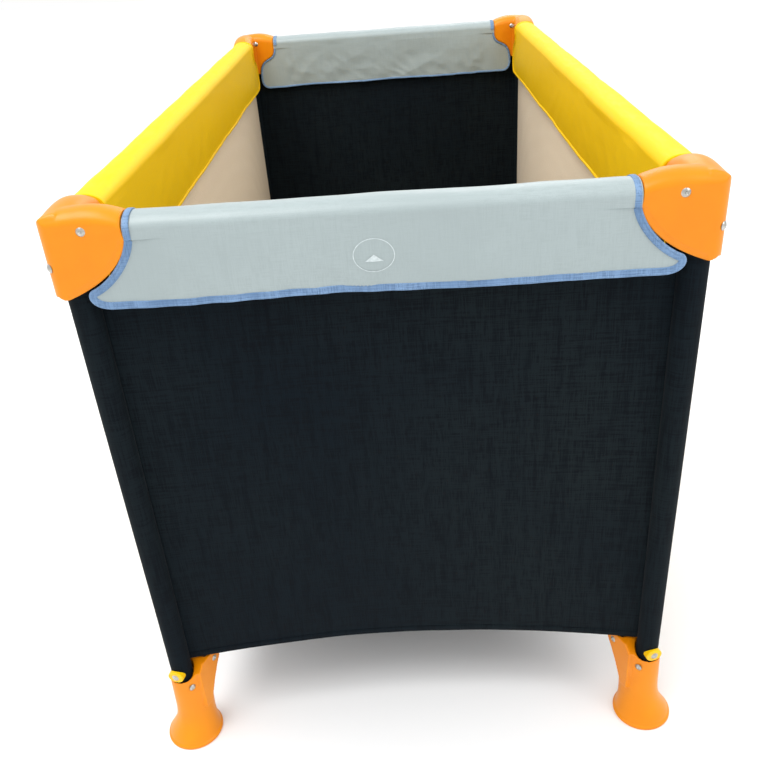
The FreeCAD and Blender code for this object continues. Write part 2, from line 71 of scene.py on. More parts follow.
def middle(node):
    low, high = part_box(node)
    return (low + high) / 2


POST_X = abs(middle("post_tube_front_left").x)
POST_Y = abs(middle("post_tube_front_left").y)
HALF = {"front": POST_X, "rear": POST_X, "left": POST_Y, "right": POST_Y}
COVER_LOW, COVER_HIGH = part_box("rail_cover_front_left")
COVER_HALF = (COVER_HIGH.y - COVER_LOW.y) / 2
COVER_TOP = COVER_HIGH.z
CROWN = 13.5 * MM                   # height of the rounding on top of a cover
ROLL_LOW = 702 * MM                 # the padded roll ends here and the skirts hang from it
ROLL_END = 60 * MM                  # from a post's axis to the end of the roll
ROLL_TAPE = 64 * MM                 # from a post's axis to the tape round that end
SKIRT_BEND = 660 * MM               # the rows of a skirt get closer together below this height
SKIRT_THICKNESS = 1.4 * MM
HEM_IN = COVER_LOW.z
HEM_OUT = HEM_IN + 13 * MM          # the skirt is shorter outside than inside
WALL_LOW, WALL_HIGH = (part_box("end_panel_front")[i].z for i in (0, 1))
WALL_OFFSET = 5 * MM                # from the plane of the posts to the wall
WALL_BOW = 30 * MM                  # how far the middle of the bottom hem bows into the pen
FLOOR_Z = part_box("floor_panel")[1].z
CREASE_ANGLE = math.radians(50)     # sharper edges than this aren't shaded smooth
MOULDED_CREASE_ANGLE = math.radians(60)


# ---------------------------------------------------------------- materials

class Finish:
    """One procedural material: a Principled shader with its texture nodes in object space."""

    def __init__(self, name, roughness, **constants):
        self.material = bpy.data.materials.new(name)
        self.material.use_nodes = True
        self.tree = self.material.node_tree
        self.shader = self.tree.nodes["Principled BSDF"]
        self.shader.inputs["Roughness"].default_value = roughness
        for key, value in constants.items():
            self.shader.inputs[key.replace("_", " ")].default_value = value
        self.coordinates = self.tree.nodes.new("ShaderNodeTexCoord").outputs["Object"]

    def link(self, out, into):
        self.tree.links.new(out, into)

    def node(self, kind, inputs=(), **settings):
        made = self.tree.nodes.new("ShaderNode" + kind)
        for key, value in settings.items():
            setattr(made, key, value)
        for key, value in dict(inputs).items():
            if isinstance(value, bpy.types.NodeSocket):
                self.link(value, made.inputs[key])
            else:
                made.inputs[key].default_value = value
        return made

    def noise(self, scale, stretch=(1, 1, 1), detail=3.0):
        """Noise with this many features per metre, stretched per axis."""
        place = self.node("Mapping", {"Vector": self.coordinates, "Scale": stretch})
        made = self.node("TexNoise", {"Vector": place.outputs[0], "Scale": scale, "Detail": detail})
        return made.outputs["Fac"]

    def ramp(self, factor, low, high, low_at=0.3, high_at=0.7):
        made = self.node("ValToRGB", {"Fac": factor})
        ends = made.color_ramp.elements
        ends[0].position, ends[1].position = low_at, high_at
        ends[0].color, ends[1].color = (*low, 1), (*high, 1)
        return made.outputs["Color"]

    def mix(self, factor, a, b, blend="MIX"):
        made = self.node("Mix", data_type="RGBA", blend_type=blend)
        for index, value in ((0, factor), (6, a), (7, b)):
            if isinstance(value, bpy.types.NodeSocket):
                self.link(value, made.inputs[index])
            else:
                made.inputs[index].default_value = value if index == 0 else (*value, 1)
        return made.outputs[2]

    def math(self, operation, a, b):
        made = self.node("Math", operation=operation)
        for index, value in enumerate((a, b)):
            if isinstance(value, bpy.types.NodeSocket):
                self.link(value, made.inputs[index])
            else:
                made.inputs[index].default_value = value
        return made.outputs[0]

    def colour(self, out):
        self.link(out, self.shader.inputs["Base Color"])

    def roughness(self, factor, low, high):
        span = self.node("MapRange", {"Value": factor, "To Min": low, "To Max": high})
        self.link(span.outputs[0], self.shader.inputs["Roughness"])

    def bump(self, height, distance, strength):
        made = self.node("Bump", {"Height": height, "Distance": distance, "Strength": strength})
        self.link(made.outputs[0], self.shader.inputs["Normal"])


def moulded(name, shade, light, roughness, grain=0.00006):
    """Injection moulded plastic: faint flow marks, fine grain, and convex edges painted paler as a
    highlight.
    """
    made = Finish(name, roughness, Specular_IOR_Level=0.3, Coat_Weight=0.05, Coat_Roughness=0.3)
    flow = made.noise(14, detail=4)
    body = made.ramp(flow, shade, light, 0.35, 0.7)
    edge = made.node("NewGeometry").outputs["Pointiness"]
    # Painted highlight: convex edges are painted paler, as rounded edges catch the light.
    edge_highlight = made.node("MapRange", {"Value": edge, "From Min": 0.53, "From Max": 0.62, "To Max": 0.45})
    made.colour(made.mix(edge_highlight.outputs[0], body, tuple(min(1, 1.2 * c) for c in light)))
    made.roughness(made.noise(55, detail=5), roughness - 0.07, roughness + 0.1)
    made.bump(made.noise(1800, detail=2), grain, 0.6)
    return made.material


def woven(name, shade, light, roughness, yarns, streaks, bump, sheen=0.1, mottle=7, **constants):
    """Woven cloth: uneven yarns both ways, yarns per metre, under a soft cloudy shade."""
    made = Finish(name, roughness, Sheen_Weight=sheen, Sheen_Roughness=0.4, **constants)
    body = made.ramp(made.noise(mottle, detail=5), shade, light, 0.3, 0.72)
    long = yarns / 25
    upright = made.noise(1, (yarns, yarns, long), detail=2)
    level = made.noise(1, (long, long, yarns), detail=2)
    weave = made.math("ADD", upright, level)
    slubs = made.noise(1, (yarns / 6, yarns / 6, long / 3), detail=3)
    yarn = made.node("MapRange", {"Value": weave, "From Min": 0.75, "From Max": 1.15})
    uneven = made.math("MULTIPLY", yarn.outputs[0], slubs)
    streak = made.node("MapRange", {"Value": uneven, "From Min": 0.08, "From Max": 0.4})
    darker = tuple(c * (1 - streaks) for c in shade)
    made.colour(made.mix(streak.outputs[0], darker, body))
    made.roughness(yarn.outputs[0], roughness - 0.04, roughness + 0.08)
    made.bump(weave, bump, 0.7)
    return made.material


def metal(name, colour, roughness, metallic):
    made = Finish(name, roughness, Metallic=metallic)
    worn = made.noise(120, (1, 1, 0.3), detail=6)
    made.colour(made.ramp(worn, tuple(0.75 * c for c in colour), colour, 0.35, 0.65))
    made.roughness(made.noise(300, detail=4), roughness - 0.08, roughness + 0.12)
    made.bump(made.noise(900, detail=3), 0.00004, 0.4)
    return made.material


def netting(name, yarn_colour, hole_colour, pitch):
    """Fine knitted net: small holes between paler yarns."""
    made = Finish(name, 0.8, Sheen_Weight=0.1, Sheen_Roughness=0.5)
    cells = made.node("TexVoronoi", {"Vector": made.coordinates, "Scale": 1 / pitch, "Randomness": 0.7},
                      feature="DISTANCE_TO_EDGE")
    wall = made.node("MapRange", {"Value": cells.outputs["Distance"], "From Min": 0.05, "From Max": 0.25})
    cloud = made.ramp(made.noise(5, detail=4), tuple(0.93 * c for c in yarn_colour), yarn_colour)
    made.colour(made.mix(wall.outputs[0], cloud, hole_colour))
    made.bump(made.math("SUBTRACT", 1.0, wall.outputs[0]), 0.0002, 0.5)
    return made.material


def make_materials():
    made = {
        "orange_plastic": moulded("orange_plastic", (0.76, 0.225, 0.0), (0.84, 0.27, 0.0), 0.34),
        "yellow_plastic": moulded("yellow_plastic", (0.84, 0.50, 0.0), (0.92, 0.58, 0.002), 0.32),
        "black_plastic": moulded("black_plastic", (0.018, 0.018, 0.020), (0.03, 0.03, 0.033), 0.5, 0.0001),
        "button_plastic": moulded("button_plastic", (0.40, 0.02, 0.012), (0.52, 0.03, 0.02), 0.35),
        "post_steel": metal("post_steel", (0.05, 0.055, 0.06), 0.45, 0.3),
        "tube_steel": metal("tube_steel", (0.22, 0.23, 0.24), 0.42, 0.4),
        "rivet_steel": metal("rivet_steel", (0.55, 0.54, 0.50), 0.28, 1.0),
        "latch_steel": metal("latch_steel", (0.42, 0.42, 0.42), 0.35, 1.0),
        "dark_fabric": woven("dark_fabric", (0.0014, 0.0050, 0.0095), (0.0075, 0.0125, 0.0145), 0.85,
                             900, 0.5, 0.00022, 0.02, 2.2, Specular_IOR_Level=0.12),
        "floor_fabric": woven("floor_fabric", (0.005, 0.009, 0.013), (0.010, 0.016, 0.020), 0.85,
                              800, 0.4, 0.00022, 0.02, 5, Specular_IOR_Level=0.25),
        "blue_grey_fabric": woven("blue_grey_fabric", (0.325, 0.385, 0.39), (0.365, 0.43, 0.435), 0.38,
                                  1400, 0.03, 0.00005, 0.1, 6),
        "blue_binding": woven("blue_binding", (0.115, 0.215, 0.38), (0.21, 0.34, 0.54), 0.6,
                              1000, 0.15, 0.0002, 0.1, 30),
        "yellow_fabric": woven("yellow_fabric", (0.88, 0.55, 0.0), (0.91, 0.58, 0.0), 0.5,
                               1400, 0.02, 0.00005, 0.0, 6, Specular_IOR_Level=0.2),
        "beige_mesh": netting("beige_mesh", (0.86, 0.73, 0.55), (0.76, 0.63, 0.46), 0.0017),
        "strap_webbing": woven("strap_webbing", (0.012, 0.012, 0.014), (0.022, 0.022, 0.025), 0.7,
                               700, 0.4, 0.0004, 0.1, 20),
    }
    print_ink = Finish("print_ink", 0.7)
    print_ink.colour(print_ink.ramp(print_ink.noise(400, detail=4), (0.47, 0.54, 0.55), (0.62, 0.69, 0.70)))
    made["print_ink"] = print_ink.material
    return made


FINISH = make_materials()


def dress_frame():
    """Gives each CAD node that stays its finish."""
    for part in frame["record"]["subparts"]:
        node = frame["nodes"][part["node"]]
        node.data.materials.clear()
        node.data.materials.append(FINISH[part["material_slot"]])


# ---------------------------------------------------------------- mesh building

def make_object(name, points, faces, finish, body):
    """One piece of the visual model in its finish, carried by its body unless that is None."""
    mesh = bpy.data.meshes.new(name)
    mesh.from_pydata([tuple(p) for p in points], [], faces)
    shape = bmesh.new()
    shape.from_mesh(mesh)
    bmesh.ops.recalc_face_normals(shape, faces=shape.faces)
    shape.to_mesh(mesh)
    shape.free()
    mesh.polygons.foreach_set("use_smooth", [True] * len(mesh.polygons))
    mesh.set_sharp_from_angle(angle=CREASE_ANGLE)
    mesh.materials.append(FINISH[finish])
    made = bpy.data.objects.new(name, mesh)
    bpy.context.scene.collection.objects.link(made)
    if body:
        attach(made, body)
    return made


def joined(parts):
    """Several lists of points and faces as one."""
    points, faces = [], []
    for some_points, some_faces in parts:
        start = len(points)
        points.extend(map(tuple, some_points))
        faces.extend(tuple(k + start for k in face) for face in some_faces)
    return points, faces


def grid_faces(rows, columns, start=0, flip=False, closed=False):
    """Quads of a grid whose points run along its rows; closed joins the last column to the first."""
    faces = []
    for i in range(rows - 1):
        for j in range(columns if closed else columns - 1):
            k = (j + 1) % columns
            quad = (start + i * columns + j, start + i * columns + k,
                    start + (i + 1) * columns + k, start + (i + 1) * columns + j)
            faces.append(quad[::-1] if flip else quad)
    return faces


def shell(grid, normals, thickness):
    """A closed sheet: the grid as its outer face, and the same grid set back by the thickness."""
    rows, columns = grid.shape[:2]
    back = grid - normals * thickness
    points = np.concatenate([grid.reshape(-1, 3), back.reshape(-1, 3)])
    count = rows * columns
    faces = grid_faces(rows, columns) + grid_faces(rows, columns, count, flip=True)
    border = [(0, j) for j in range(columns)] + [(i, columns - 1) for i in range(1, rows)]
    border += [(rows - 1, j) for j in range(columns - 2, -1, -1)] + [(i, 0) for i in range(rows - 2, 0, -1)]
    ring = [i * columns + j for i, j in border]
    for a, b in zip(ring, ring[1:] + ring[:1]):
        faces.append((b, a, a + count, b + count))
    return points, faces


def ribbon(path, normals, half_width, half_thickness, ring=12):
    """A soft flat tape along a path; normals point out of the cloth that it lies on."""
    path = np.asarray(path)
    tangent = np.gradient(path, axis=0)
    tangent /= np.maximum(np.linalg.norm(tangent, axis=1, keepdims=True), 1e-12)
    side = np.cross(tangent, normals)
    side /= np.maximum(np.linalg.norm(side, axis=1, keepdims=True), 1e-12)
    out = np.cross(side, tangent)
    angles = np.arange(ring) * 2 * math.pi / ring
    across = np.sign(np.cos(angles)) * np.abs(np.cos(angles)) ** 0.5 * half_width
    height = np.sign(np.sin(angles)) * np.abs(np.sin(angles)) ** 0.8 * half_thickness
    points = path[:, None] + across[None, :, None] * side[:, None] + height[None, :, None] * out[:, None]
    faces = grid_faces(len(path), ring, closed=True)
    faces += [tuple(range(ring))[::-1], tuple((len(path) - 1) * ring + k for k in range(ring))]
    return points.reshape(-1, 3), faces


def bezier(a, b, c, d, count):
    """Points along the cubic curve from a to d that b and c pull on."""
    t = np.linspace(0, 1, count)[:, None]
    a, b, c, d = (np.array(p, float) for p in (a, b, c, d))
    return (1 - t) ** 3 * a + 3 * (1 - t) ** 2 * t * b + 3 * (1 - t) * t ** 2 * c + t ** 3 * d


def at_side(side, points):
    """Points drawn in the frame of the front rail, put on one side of the pen: u along the rail
    from its middle, v from the plane of the posts into the pen, z up."""
    points = np.asarray(points, float)
    u, v, z = points[..., 0], points[..., 1], points[..., 2]
    placed = {"front": (u, v - POST_Y, z), "rear": (-u, POST_Y - v, z),
              "left": (v - POST_X, -u, z), "right": (POST_X - v, u, z)}[side]
    return np.stack(placed, axis=-1)


def cloudy(u, s, seed, scale_u, scale_s):
    """Smooth noise from -1 to 1 at each point of two arrays."""
    flat = [noise.noise(Vector((a * scale_u, b * scale_s, seed * 7.31)))
            for a, b in zip(u.ravel(), s.ravel())]
    return np.array(flat).reshape(u.shape)


# ---------------------------------------------------------------- moulded parts

def soften(node, body, voxel, swell, rounds):
    """The CAD part with its edges and joins rounded as a mould leaves them. Thin rims swell a little
    first, so that the rounding doesn't eat them."""
    shape = bmesh.new()
    shape.from_mesh(frame["nodes"][node].data)
    bmesh.ops.remove_doubles(shape, verts=shape.verts, dist=0.01 * MM)
    shape.normal_update()
    for vertex, normal in [(v, v.normal.copy()) for v in shape.verts]:
        vertex.co += normal * swell
    mesh = bpy.data.meshes.new(node + "_moulded")
    shape.to_mesh(mesh)
    shape.free()
    copy = bpy.data.objects.new(node + "_moulded", mesh)
    copy.matrix_world = frame["nodes"][node].matrix_world
    bpy.context.scene.collection.objects.link(copy)
    remesh = copy.modifiers.new("remesh", "REMESH")
    remesh.mode = "VOXEL"
    remesh.voxel_size = voxel
    smooth = copy.modifiers.new("smooth", "SMOOTH")
    smooth.factor = 0.5
    smooth.iterations = rounds
    bpy.context.view_layer.update()
    mesh = bpy.data.meshes.new_from_object(copy.evaluated_get(bpy.context.evaluated_depsgraph_get()))
    copy.modifiers.clear()
    copy.data = mesh
    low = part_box(node)[0].z
    for vertex in mesh.vertices:
        vertex.co.z = max(vertex.co.z, low)
    mesh.materials.clear()
    mesh.materials.append(FINISH["orange_plastic"])
    mesh.polygons.foreach_set("use_smooth", [True] * len(mesh.polygons))
    mesh.set_sharp_from_angle(angle=MOULDED_CREASE_ANGLE)
    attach(copy, body)
    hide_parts(node)


# ---------------------------------------------------------------- rail covers

def end_path(inner):
    """Where a cover ends beside its corner head: distance from the post axis and height, downwards."""
    top = np.array([(60.0, 718.0)])
    if inner:
        edge = bezier((61.6, 702), (59, 670), (31, 690), (26.5, 653), 24)
        corner = bezier((26.5, 653), (25, 640), (24, HEM_IN / MM + 1), (42, HEM_IN / MM), 20)
    else:
        edge = bezier((61.6, 702), (57.8, 683), (37.5, 660.5), (19, 652.5), 24)
        corner = bezier((19, 652.5), (12, 650), (14, HEM_OUT / MM), (34, HEM_OUT / MM), 20)
    return np.concatenate([top, edge, corner[1:]]) * MM


def folds(u, z, seed, turn):
    """Long narrow creases that run across the cloth at an angle."""
    across = u * math.cos(turn) + z * math.sin(turn)
    along = z * math.cos(turn) - u * math.sin(turn)
    return -np.abs(cloudy(across, along, seed, 26, 5))


def cover_skirt(half, inner, seed, u, z):
    """Points of the hanging cloth at distance u from the rail's middle and height z: a soft billow,
    slanting folds, and gathers beside the corner head, where the cloth is drawn in behind its face."""
    low = HEM_IN if inner else HEM_OUT
    drop = np.clip((ROLL_LOW - z) / (ROLL_LOW - low), 0, 1)
    post = half - np.abs(u)
    billow = 1.2 * np.sin(drop * math.pi) - 1.6 * drop ** 3
    short = half == POST_X
    waves = (cloudy(u, z, seed, 9, 14) * 1.8 + folds(u, z, seed + 3, 0.9) * 3.0
             + folds(u, z, seed + 4, -0.75) * 2.4)
    waves *= 1.0 if short else 0.3
    gather_size, gather_middle, gather_reach = 3.4 * MM, 85 * MM, 28 * MM
    wander = cloudy(u, z, seed + 5, 40, 25) * 3
    gathers = np.sin(u / gather_size + wander) * np.exp(-np.abs(post - gather_middle) / gather_reach)
    crease_depth = 2.6 if inner and short else 0
    creases = np.abs(cloudy(u - 0.5 * z, z, seed + 7, 34, 40)) * drop * crease_depth
    proud = billow + (waves + gathers * np.sin(drop * math.pi)) * np.minimum(1, drop * 2.5) - creases
    draw_from, draw_reach, draw_depth = 100 * MM, 36 * MM, 1.6
    drawn_in = np.clip((draw_from - post) / draw_reach, 0, 1)
    drawn_in *= drawn_in * (3 - 2 * drawn_in)
    proud = (proud * (1 - drawn_in) - draw_depth * drawn_in) * MM
    long_wave = cloudy(u, 0 * u, seed + 9, 7, 1) * 3.0
    short_wave = cloudy(u, 0 * u, seed + 10, 34, 1) * 0.8
    lift = (long_wave + short_wave) * drop ** 2 * MM
    v = (COVER_HALF + proud) * (1 if inner else -1)
    return np.stack([u, v, z + lift], axis=-1)


def skirt_grid(half, inner, seed, sign, columns):
    """Rows of a skirt from the roll down to the hem, each from the skirt's end to the rail's middle."""
    path = end_path(inner)
    low = path[-1, 1]
    bend = np.linspace(0, 1, 20) ** 0.7
    upper = np.linspace(ROLL_LOW, SKIRT_BEND, 14)[:-1]
    heights = np.concatenate([upper, SKIRT_BEND + (low - SKIRT_BEND) * bend])
    distance = np.interp(-heights, -path[:, 1], path[:, 0])
    share = np.linspace(0, 1, columns)
    u = sign * (half - distance)[:, None] * (1 - share[None, :])
    z = np.repeat(heights[:, None], columns, axis=1)
    return cover_skirt(half, inner, seed, u, z)


def roll_section(count=30):
    """The padded top of a cover: half an ellipse over two short straight sides, left to right."""
    angle = np.linspace(math.pi, 0, count)
    arch = np.stack([COVER_HALF * np.cos(angle), COVER_TOP - CROWN + CROWN * np.sin(angle)], axis=1)
    steps = np.linspace(ROLL_LOW, COVER_TOP - CROWN, 5)[:-1]
    left = np.stack([np.full(4, -COVER_HALF), steps], axis=1)
    right = np.stack([np.full(4, COVER_HALF), steps[::-1]], axis=1)
    return np.concatenate([left, arch, right])


def cover_roll(half, seed, sign, columns):
    """Points of a padded roll, a section for each column, slightly uneven as stuffing leaves it."""
    section = roll_section()
    near = half - ROLL_END
    u = np.repeat((sign * near * (1 - np.linspace(0, 1, columns)))[None, :], len(section), axis=0)
    v = np.repeat(section[:, :1], columns, axis=1)
    z = np.repeat(section[:, 1:], columns, axis=1)
    soft = (cloudy(u, v, seed + 20, 8, 30) * 0.9 + cloudy(u, v, seed + 21, 24, 60) * 0.5
            - np.abs(cloudy(u, v, seed + 22, 13, 22)) * 0.9) * MM
    fade = np.clip((z - ROLL_LOW) / (8 * MM), 0, 1)
    middle_z = COVER_TOP - CROWN
    reach = np.hypot(v, z - middle_z)
    grow = 1 + soft * fade / np.maximum(reach, 1 * MM)
    return np.stack([u, v * grow, middle_z + (z - middle_z) * grow], axis=-1)


def stitches(path, normals, pitch=3.6 * MM, length=2.2 * MM, radius=0.32 * MM):
    """Short raised threads along a path."""
    path = np.asarray(path)
    steps = np.concatenate([[0], np.cumsum(np.linalg.norm(np.diff(path, axis=0), axis=1))])
    parts = []
    for at in np.arange(pitch, steps[-1] - pitch, pitch):
        ends = [np.array([np.interp(at + d, steps, path[:, k]) for k in range(3)])
                for d in np.linspace(-length / 2, length / 2, 4)]
        normal = np.array([np.interp(at, steps, normals[:, k]) for k in range(3)])
        parts.append(ribbon(np.array(ends), np.repeat(normal[None], 4, axis=0), radius, radius, ring=6))
    return joined(parts)


def sewn_edge(side, path, outward, half_width, with_stitches):
    """Binding tape folded over an edge, with a fuller lip on the edge itself and a row of stitches."""
    placed = at_side(side, path)
    out = at_side(side, path + outward) - placed
    out /= np.linalg.norm(out, axis=1, keepdims=True)
    tangent = np.gradient(placed, axis=0)
    inward = np.cross(out, tangent)
    inward /= np.linalg.norm(inward, axis=1, keepdims=True)
    middle_of_path = placed.mean(axis=0)
    if np.sum((middle_of_path - placed) * inward) + np.sum(inward[:, 2]) < 0:
        inward = -inward
    tape_thick, lip_wide, lip_thick = 1.25, 1.5, 1.7        # halves, in millimetres
    tape = placed + inward * half_width * 0.9
    parts = [ribbon(tape, out, half_width, tape_thick * MM),
             ribbon(placed, out, lip_wide * MM, lip_thick * MM)]
    if with_stitches:
        parts.append(stitches(placed + inward * half_width * 1.55 + out * tape_thick * MM, out))
    return joined(parts)


def make_cover(side):
    """Both halves of one rail's cover: the roll, two skirts with their bindings, and the end tape."""
    half = HALF[side]
    short = side in ("front", "rear")
    cloth = "blue_grey_fabric" if short else "yellow_fabric"
    trim = "blue_binding" if short else "yellow_fabric"
    seed = list(SIDES).index(side) * 40
    columns = 64 if short else 110
    for half_name, sign in zip(SIDES[side], (-1, 1)):
        body = "rail_%s_%s" % (side, half_name)
        label = "%s_%s" % (side, half_name)
        roll = cover_roll(half, seed, sign, columns)
        rows = roll.shape[0]
        faces = grid_faces(columns, rows, closed=True)
        ring = roll.transpose(1, 0, 2).reshape(-1, 3)
        faces += [tuple(range(rows)), tuple((columns - 1) * rows + k for k in range(rows))]
        pad = make_object("cover_roll_" + label, at_side(side, ring), faces, cloth, None)
        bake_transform(pad)
        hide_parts("rail_cover_" + label)

        trims = []
        for inner in (False, True):
            face = 1.0 if inner else -1.0
            skirt_seed = seed + (11 if inner else 0)
            grid = skirt_grid(half, inner, skirt_seed, sign, columns)
            placed = at_side(side, grid)
            normals = np.repeat((at_side(side, (0, face, 0)) - at_side(side, (0, 0, 0)))[None, None],
                                grid.shape[0], axis=0).repeat(columns, axis=1)
            points, faces = shell(placed, normals, SKIRT_THICKNESS)
            name = "%s_skirt_%s" % ("inner" if inner else "outer", label)
            skirt = make_object(name, points, faces, cloth, body)
            path = end_path(inner)
            edge_u = sign * (half - path[:, 0])
            hem = np.linspace(edge_u[-1], 0, columns)[1:]
            low = path[-1, 1]
            edge = cover_skirt(half, inner, skirt_seed, np.concatenate([edge_u[1:], hem]),
                               np.concatenate([path[1:, 1], np.full(columns - 1, low)]))
            width = 1.2 * MM if inner else 3.2 * MM
            outward = np.array([0, face, 0])
            binding = make_object(name.replace("skirt", "binding"),
                                  *sewn_edge(side, edge, outward, width, not inner), trim, body)
            trims += [skirt, binding]

        over = roll_section(40)
        if short:
            over = over[:-3]        # this tape stops above the roll's lower inner edge
        path = np.stack([np.full(len(over), sign * (half - ROLL_TAPE)), over[:, 0], over[:, 1]], axis=1)
        out = np.stack([0 * over[:, 0], over[:, 0] / COVER_HALF ** 2,
                        np.maximum(over[:, 1] - COVER_TOP + CROWN, 0) / CROWN ** 2], axis=1)
        placed = at_side(side, path)
        normal = at_side(side, path + out) - placed
        normal /= np.linalg.norm(normal, axis=1, keepdims=True)
        make_object("roll_binding_" + label, *ribbon(placed, normal, 3.2 * MM, 1.1 * MM), trim, body)

        if side == "front":
            trims += printed_mark(side, half, seed, sign, label, body)
        for piece in trims:
            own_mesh(piece)


def printed_mark(side, half, seed, sign, label, body):
    """A plain ring round a triangle, printed on the outside; it crosses the middle of the rail."""
    middle_u, middle_z = -8 * MM, 672 * MM
    shapes = []
    angles = np.linspace(0, 2 * math.pi, 73)
    for a, b in zip(angles, angles[1:]):
        shapes.append([(middle_u + r * 20 * MM * math.cos(c), middle_z + r * 17 * MM * math.sin(c))
                       for r, c in ((0.95, a), (1.0, a), (1.0, b), (0.95, b))])
    rows = 8
    across = np.linspace(-1, 1, rows + 1)
    for row in range(rows):
        wide = [9 * (row + k) / rows * MM for k in (0, 1)]
        level = [middle_z + (1 - 7 * (row + k) / rows) * MM for k in (0, 1)]
        for a, b in zip(across, across[1:]):
            corners = ((a, 0), (b, 0), (b, 1), (a, 1))
            shapes.append([(middle_u + share * wide[k], level[k]) for share, k in corners])
    shapes = [shape for shape in shapes if (np.mean(shape, axis=0)[0] > 0) == (sign > 0)]
    flat = np.array(shapes).reshape(-1, 2)
    points = cover_skirt(half, False, seed, flat[:, 0], flat[:, 1]) + np.array([0, -0.45 * MM, 0])
    faces = [tuple(4 * i + k for k in range(4)) for i in range(len(shapes))]
    return [make_object("printed_mark_" + label, at_side(side, points), faces, "print_ink", body)]


# ---------------------------------------------------------------- walls, floor, sleeves and strap

def wall_points(half, seed, u, z):
    """The taut wall bows into the pen towards its bottom hem, with slack waves near the hem."""
    down = np.clip((WALL_HIGH - z) / (WALL_HIGH - WALL_LOW), 0, 1)
    across = 1 - (u / half) ** 2
    top_bow = 2 * MM
    bow = across * (top_bow + (WALL_BOW - top_bow) * down)
    ripple = cloudy(u, z, seed, 5, 3) * 1.6 + cloudy(u, z, seed + 2, 16, 7) * 0.5
    v = WALL_OFFSET + bow + ripple * across * (0.35 + down) * MM
    return np.stack([u, v, z], axis=-1)


def make_walls():
    """The two end panels and the two side panels, each with a sewn bottom hem."""
    thick = 1.6                     # millimetres
    for side, name, finish, body in (("front", "end_panel", "dark_fabric", "post_front_left"),
                                     ("rear", "end_panel", "dark_fabric", "post_rear_left"),
                                     ("left", "side_mesh", "beige_mesh", "post_front_left"),
                                     ("right", "side_mesh", "beige_mesh", "post_front_right")):
        half = HALF[side]
        span = half - 8 * MM
        seed = 200 + list(SIDES).index(side) * 10
        columns = 90 if half == POST_X else 150
        u, z = np.meshgrid(np.linspace(-span, span, columns), np.linspace(WALL_HIGH, WALL_LOW, 70))
        grid = wall_points(half, seed, u, z)
        placed = at_side(side, grid)
        inward = at_side(side, (0, 1, 0)) - at_side(side, (0, 0, 0))
        normals = np.broadcast_to(-inward, placed.shape)
        cloth = shell(placed - inward * (thick / 2) * MM, normals, thick * MM)
        wall = make_object(name + "_" + side + "_cloth", *cloth, finish, body)
        hem_path = placed[-1]
        outward = np.broadcast_to(-inward, hem_path.shape)
        hem = make_object(name + "_" + side + "_hem", *joined([
            ribbon(hem_path + (0, 0, 5 * MM), outward, 5.5 * MM, 1.7 * MM),
            stitches(hem_path + np.array((0, 0, 9 * MM)) - inward * thick * MM, outward)]),
            "dark_fabric", body)
        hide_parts(name + "_" + side)
        for piece in (wall, hem):
            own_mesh(piece)


def floor_cloth(x, y):
    """A slightly uneven sheet of floor through these grids of x and y."""
    swell = cloudy(x, y, 300, 6, 6) * 1.1 + cloudy(x, y, 301, 20, 20) * 0.3
    grid = np.stack([x, y, FLOOR_Z + swell * MM], axis=-1)
    return shell(grid, np.broadcast_to(np.array([0.0, 0.0, 1.0]), grid.shape), 2.4 * MM)


def make_floor():
    """Four quarters of the fabric floor, each lifted by its base arm, and a square
    on the hub."""
    square = 34 * MM
    inset = WALL_OFFSET + WALL_BOW + 3 * MM
    x, y = np.meshgrid(np.linspace(-square, square, 12), np.linspace(-square, square, 12))
    middle_piece = make_object("floor_cloth_middle", *floor_cloth(x, y), "floor_fabric", "hub")
    share_x, share_y = np.meshgrid(np.linspace(0, 1, 50), np.linspace(0, 1, 60))
    for corner, (right, rear) in CORNERS.items():
        parts = []
        for start_x, end_x, start_y in ((square, POST_X, 0), (0, square, square)):
            x = start_x + share_x * (end_x - start_x)
            y = start_y + share_y * (POST_Y - start_y)
            bowed_y = WALL_BOW * (x / POST_X) ** 2
            y = np.minimum(y, y * (POST_Y - inset + bowed_y) / POST_Y)
            if end_x == POST_X:
                bowed_x = WALL_BOW * (y / POST_Y) ** 2
                x = square + share_x * (POST_X - inset + bowed_x - square)
            parts.append(floor_cloth(right * x, rear * np.maximum(y, start_y)))
        piece = make_object("floor_cloth_" + corner, *joined(parts), "floor_fabric", "arm_" + corner)
        if corner == "front_left":
            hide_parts("floor_panel")
        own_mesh(piece)


